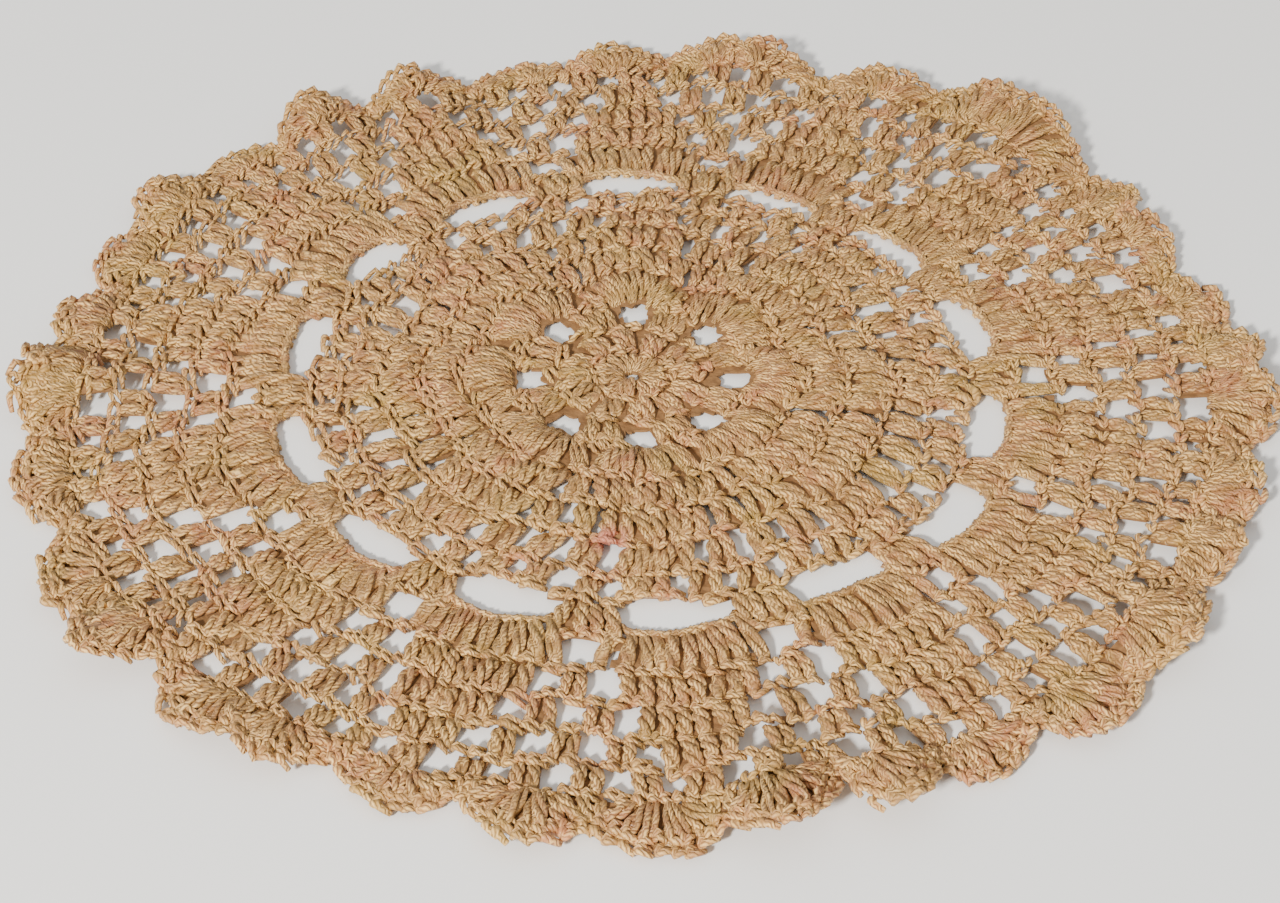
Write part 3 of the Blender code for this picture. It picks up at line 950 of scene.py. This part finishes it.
def tone_group():
    """Colour of the cotton at a place: rosy and olive patches, pale specks that are a painted highlight, and
    a tone per strand, random and higher for links as a painted highlight.
    """
    inputs = [("Place", "Vector", None), ("Strand", "Float", 0.5)]
    inputs += [(label, "Color", (0.5, 0.3, 0.15, 1.0)) for label in ("Base", "Rosy", "Olive", "Highlight")]
    group, takes, gives = new_group("cotton_tone", inputs, [("Colour", "Color")])
    colour = takes["Base"]
    for label, scale, low, high, offset, strength in PATCHES:
        shifted = add_node(group, "VectorMath", {0: takes["Place"], 1: (offset,) * 3}).outputs[0]
        share = ramp(group, noise(group, shifted, scale), low, high, top=strength)
        colour = mix_colour(group, share, colour, takes[label])
    # Each strand's tone scales its colour; the links' higher tones are a painted highlight.
    strand = maths(group, "MULTIPLY_ADD", takes["Strand"], 0.30, 0.85)
    tint = add_node(group, "CombineXYZ", {0: strand, 1: strand, 2: strand}).outputs[0]
    group.links.new(mix_colour(group, 1.0, colour, tint, blend="MULTIPLY"), gives["Colour"])
    return group


plies, tone = ply_group(), tone_group()

# %% The cotton and its ground
TAN = (0.337, 0.174, 0.054, 1.0)
ROSY = (0.387, 0.156, 0.062, 1.0)
OLIVE = (0.332, 0.198, 0.044, 1.0)
# Highlight colour, painted on the plies' crests and in tiny specks.
PALE_HIGHLIGHT = (0.900, 0.570, 0.200, 1.0)
# Painted shade in the ply seams.
SEAM_SHADE_BROWN = (0.300, 0.135, 0.041, 1.0)
# Painted shade: the ground's two browns, darker than the yarn, stand for the shade deep between stitches.
DEEP_SHADE_BROWN = (0.110, 0.052, 0.021, 1.0)
SHADED_TAN = (0.330, 0.172, 0.068, 1.0)
MARK_PINK = (0.540, 0.167, 0.111, 1.0)  # a small pink stain
MARK_PLACE = (-0.0025, -0.0478, 0.0025)
MARK_REACH = 4.6 * MM


def new_material(name, roughness, sheen, specular):
    """A Principled material with its even values set."""
    material = bpy.data.materials.new(name)
    material.use_nodes = True
    shader = material.node_tree.nodes["Principled BSDF"]
    for socket, value in (("Roughness", roughness), ("Sheen Weight", sheen),
                          ("Sheen Roughness", 0.4), ("Specular IOR Level", specular)):
        shader.inputs[socket].default_value = value
    return material, material.node_tree, shader


def finish(tree, shader, colour, height, strength, distance):
    """Link a colour and a bump into the shader."""
    inputs = {"Height": height, "Strength": strength, "Distance": distance}
    tree.links.new(colour, shader.inputs["Base Color"])
    tree.links.new(add_node(tree, "Bump", inputs).outputs[0], shader.inputs["Normal"])


def thread_material():
    """Twisted cotton: a pale painted highlight on the plies' crests in patches, painted shade of warm brown
    in the seams, one pink stain.
    """
    material, tree, shader = new_material("thread_cotton", 0.40, 0.03, 0.5)
    where = add_node(tree, "TexCoord", {}).outputs["Object"]
    thread = add_node(tree, "UVMap", {}, uv_map="thread").outputs[0]
    strand = add_node(tree, "Attribute", {}, attribute_name="tone").outputs["Fac"]
    twist = add_node(tree, "Group", {"Thread": thread}, node_tree=plies).outputs
    inputs = {"Place": where, "Strand": strand, "Base": TAN, "Rosy": ROSY, "Olive": OLIVE, "Highlight": PALE_HIGHLIGHT}
    colour = add_node(tree, "Group", inputs, node_tree=tone).outputs[0]
    # Patches of noise where the painted highlight shows on the crests and the seams' painted shade is
    # stronger.
    glint_and_shade_patches = ramp(tree, noise(tree, where, 330.0, detail=1.0), 0.40, 0.62)
    crest = maths(tree, "POWER", maths(tree, "SUBTRACT", 1.0, twist["Seam"]), 6.0)
    glint = maths(tree, "MULTIPLY", maths(tree, "MULTIPLY", crest, glint_and_shade_patches), 0.95)
    # Painted highlight: the plies' crests are mixed toward the pale highlight colour.
    lit = mix_colour(tree, glint, colour, PALE_HIGHLIGHT)
    apart = add_node(tree, "VectorMath", {0: where, 1: MARK_PLACE}, operation="DISTANCE").outputs["Value"]
    lit = mix_colour(tree, ramp(tree, apart, MARK_REACH, 0.3 * MARK_REACH, top=0.85), lit, MARK_PINK)
    # Painted shade: the seams are mixed toward warm brown.
    seam_shade = maths(tree, "MULTIPLY", twist["Seam"], maths(tree, "MULTIPLY_ADD", glint_and_shade_patches, 0.35, 0.20))
    shade_tinted = mix_colour(tree, seam_shade, lit, SEAM_SHADE_BROWN)
    finish(tree, shader, shade_tinted, twist["Height"], strength=0.75, distance=0.36 * MM)
    return material


def ground_material():
    """The backs of the strands seen deep between stitches: dull, and browner and darker as painted shade,
    uneven at random.
    """
    material, tree, shader = new_material("shaded_ground_cotton", 0.85, 0.0, 0.2)
    uneven = noise(tree, add_node(tree, "TexCoord", {}).outputs["Object"], 620.0)
    # Painted shade: noise between two dark browns.
    shade_tinted = mix_colour(tree, uneven, DEEP_SHADE_BROWN, SHADED_TAN)
    finish(tree, shader, shade_tinted, uneven, strength=0.9, distance=0.5 * MM)
    return material


thread_cotton = thread_material()
shaded_ground_cotton = ground_material()

# %% [markdown]
# ## Joining the stitches into pieces
#
# Thousands of objects would choke any viewer, so each zone's stitches are one joined mesh
# of less than two hundred thousand triangles.

# %% Build the pieces
def add_piece(mesh, material):
    """A mesh as one object at the origin, named like its mesh."""
    piece = bpy.data.objects.new(mesh.name, mesh)
    mesh.materials.append(material)
    bpy.context.collection.objects.link(piece)
    print(mesh.name, sum(len(p.vertices) - 2 for p in mesh.polygons), "triangles")
    return piece


ground = add_piece(cloth_mesh, shaded_ground_cotton)
wall = ground.modifiers.new("thickness", "SOLIDIFY")
wall.thickness = GROUND_THICKNESS
wall.offset = 0.0
stitches = [add_piece(tube_mesh(name, batches), thread_cotton) for name, batches in pieces.items()]

# %% Say what rides and what it replaces
for piece in [ground] + stitches:
    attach(piece, "root")
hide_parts("doily")

# %% [markdown]
# ## The stage
#
# A white floor, one lamp low in front and a little to the left for crisp little shadows at
# every hole, and a pale sky for fill. The camera looks down at a little under 40 degrees.

# %% Floor and light
FLOOR_REACH = 2.0
SKY_STRENGTH = 0.80
KEY_DISTANCE = 1.6
KEY_TURN, KEY_RISE = math.radians(246.0), math.radians(31.0)
corners = [(-1, -1), (1, -1), (1, 1), (-1, 1)]
floor_mesh = bpy.data.meshes.new("floor")
floor_mesh.from_pydata([(FLOOR_REACH * x, FLOOR_REACH * y, 0) for x, y in corners], [], [(0, 1, 2, 3)])
paper, _, paper_shader = new_material("paper_white", 0.9, 0.0, 0.1)
paper_shader.inputs["Base Color"].default_value = (0.90, 0.90, 0.89, 1.0)
add_piece(floor_mesh, paper)

world = bpy.data.worlds.new("studio")
bpy.context.scene.world = world
world.use_nodes = True
sky = world.node_tree.nodes["Background"].inputs
sky["Color"].default_value = (1.0, 0.99, 0.97, 1.0)
sky["Strength"].default_value = SKY_STRENGTH


def put(name, data, place, right, up, back):
    """A lamp or camera at a place, with its own x, y and z along right, up and back."""
    thing = bpy.data.objects.new(name, data)
    pose = np.eye(4)
    pose[:3] = np.stack([right, up, back, place], -1)
    thing.matrix_world = pose.T.tolist()
    bpy.context.collection.objects.link(thing)
    return thing


key_data = bpy.data.lights.new("key", "AREA")
key_data.shape = "DISK"
key_data.size = 0.16
key_data.energy = 51.0
key_data.color = (1.0, 0.97, 0.92)
back = np.append(math.cos(KEY_RISE) * np.array([math.cos(KEY_TURN), math.sin(KEY_TURN)]), math.sin(KEY_RISE))
right = np.cross([0.0, 0.0, 1.0], back) / math.cos(KEY_RISE)
put("key", key_data, KEY_DISTANCE * back, right, np.cross(back, right), back)

# %% Camera
RING = 0.064  # radius of the ring of slots, on which the view is set
VIEW_DISTANCE = 7.932 * RING
VIEW_RISE = math.radians(37.70)
LENS_MM = 77.4
YAW, TILT, ROLL = math.radians(0.13), math.radians(-1.42), math.radians(-1.74)


def turned(axis, angle, vectors):
    """Vectors turned about a unit axis."""
    return (vectors * math.cos(angle) + np.cross(axis, vectors) * math.sin(angle)
            + np.outer(vectors @ axis, axis) * (1 - math.cos(angle)))


back = np.array([0.0, -math.cos(VIEW_RISE), math.sin(VIEW_RISE)])
view = np.array([[1.0, 0.0, 0.0], np.cross(back, [1.0, 0.0, 0.0]), -back])  # right, up, forward
for row, angle in ((1, YAW), (0, TILT), (2, ROLL)):
    view = turned(view[row], angle, view)
right, up, forward = view
eye = back * VIEW_DISTANCE + np.array([0.048 * RING, -0.034 * RING, MID])
camera_data = bpy.data.cameras.new("camera")
camera_data.lens = LENS_MM
camera_data.sensor_width = 36.0
camera_data.clip_start = 0.01
bpy.context.scene.camera = put("camera", camera_data, eye, right, up, -forward)
print("camera at", eye.round(3))
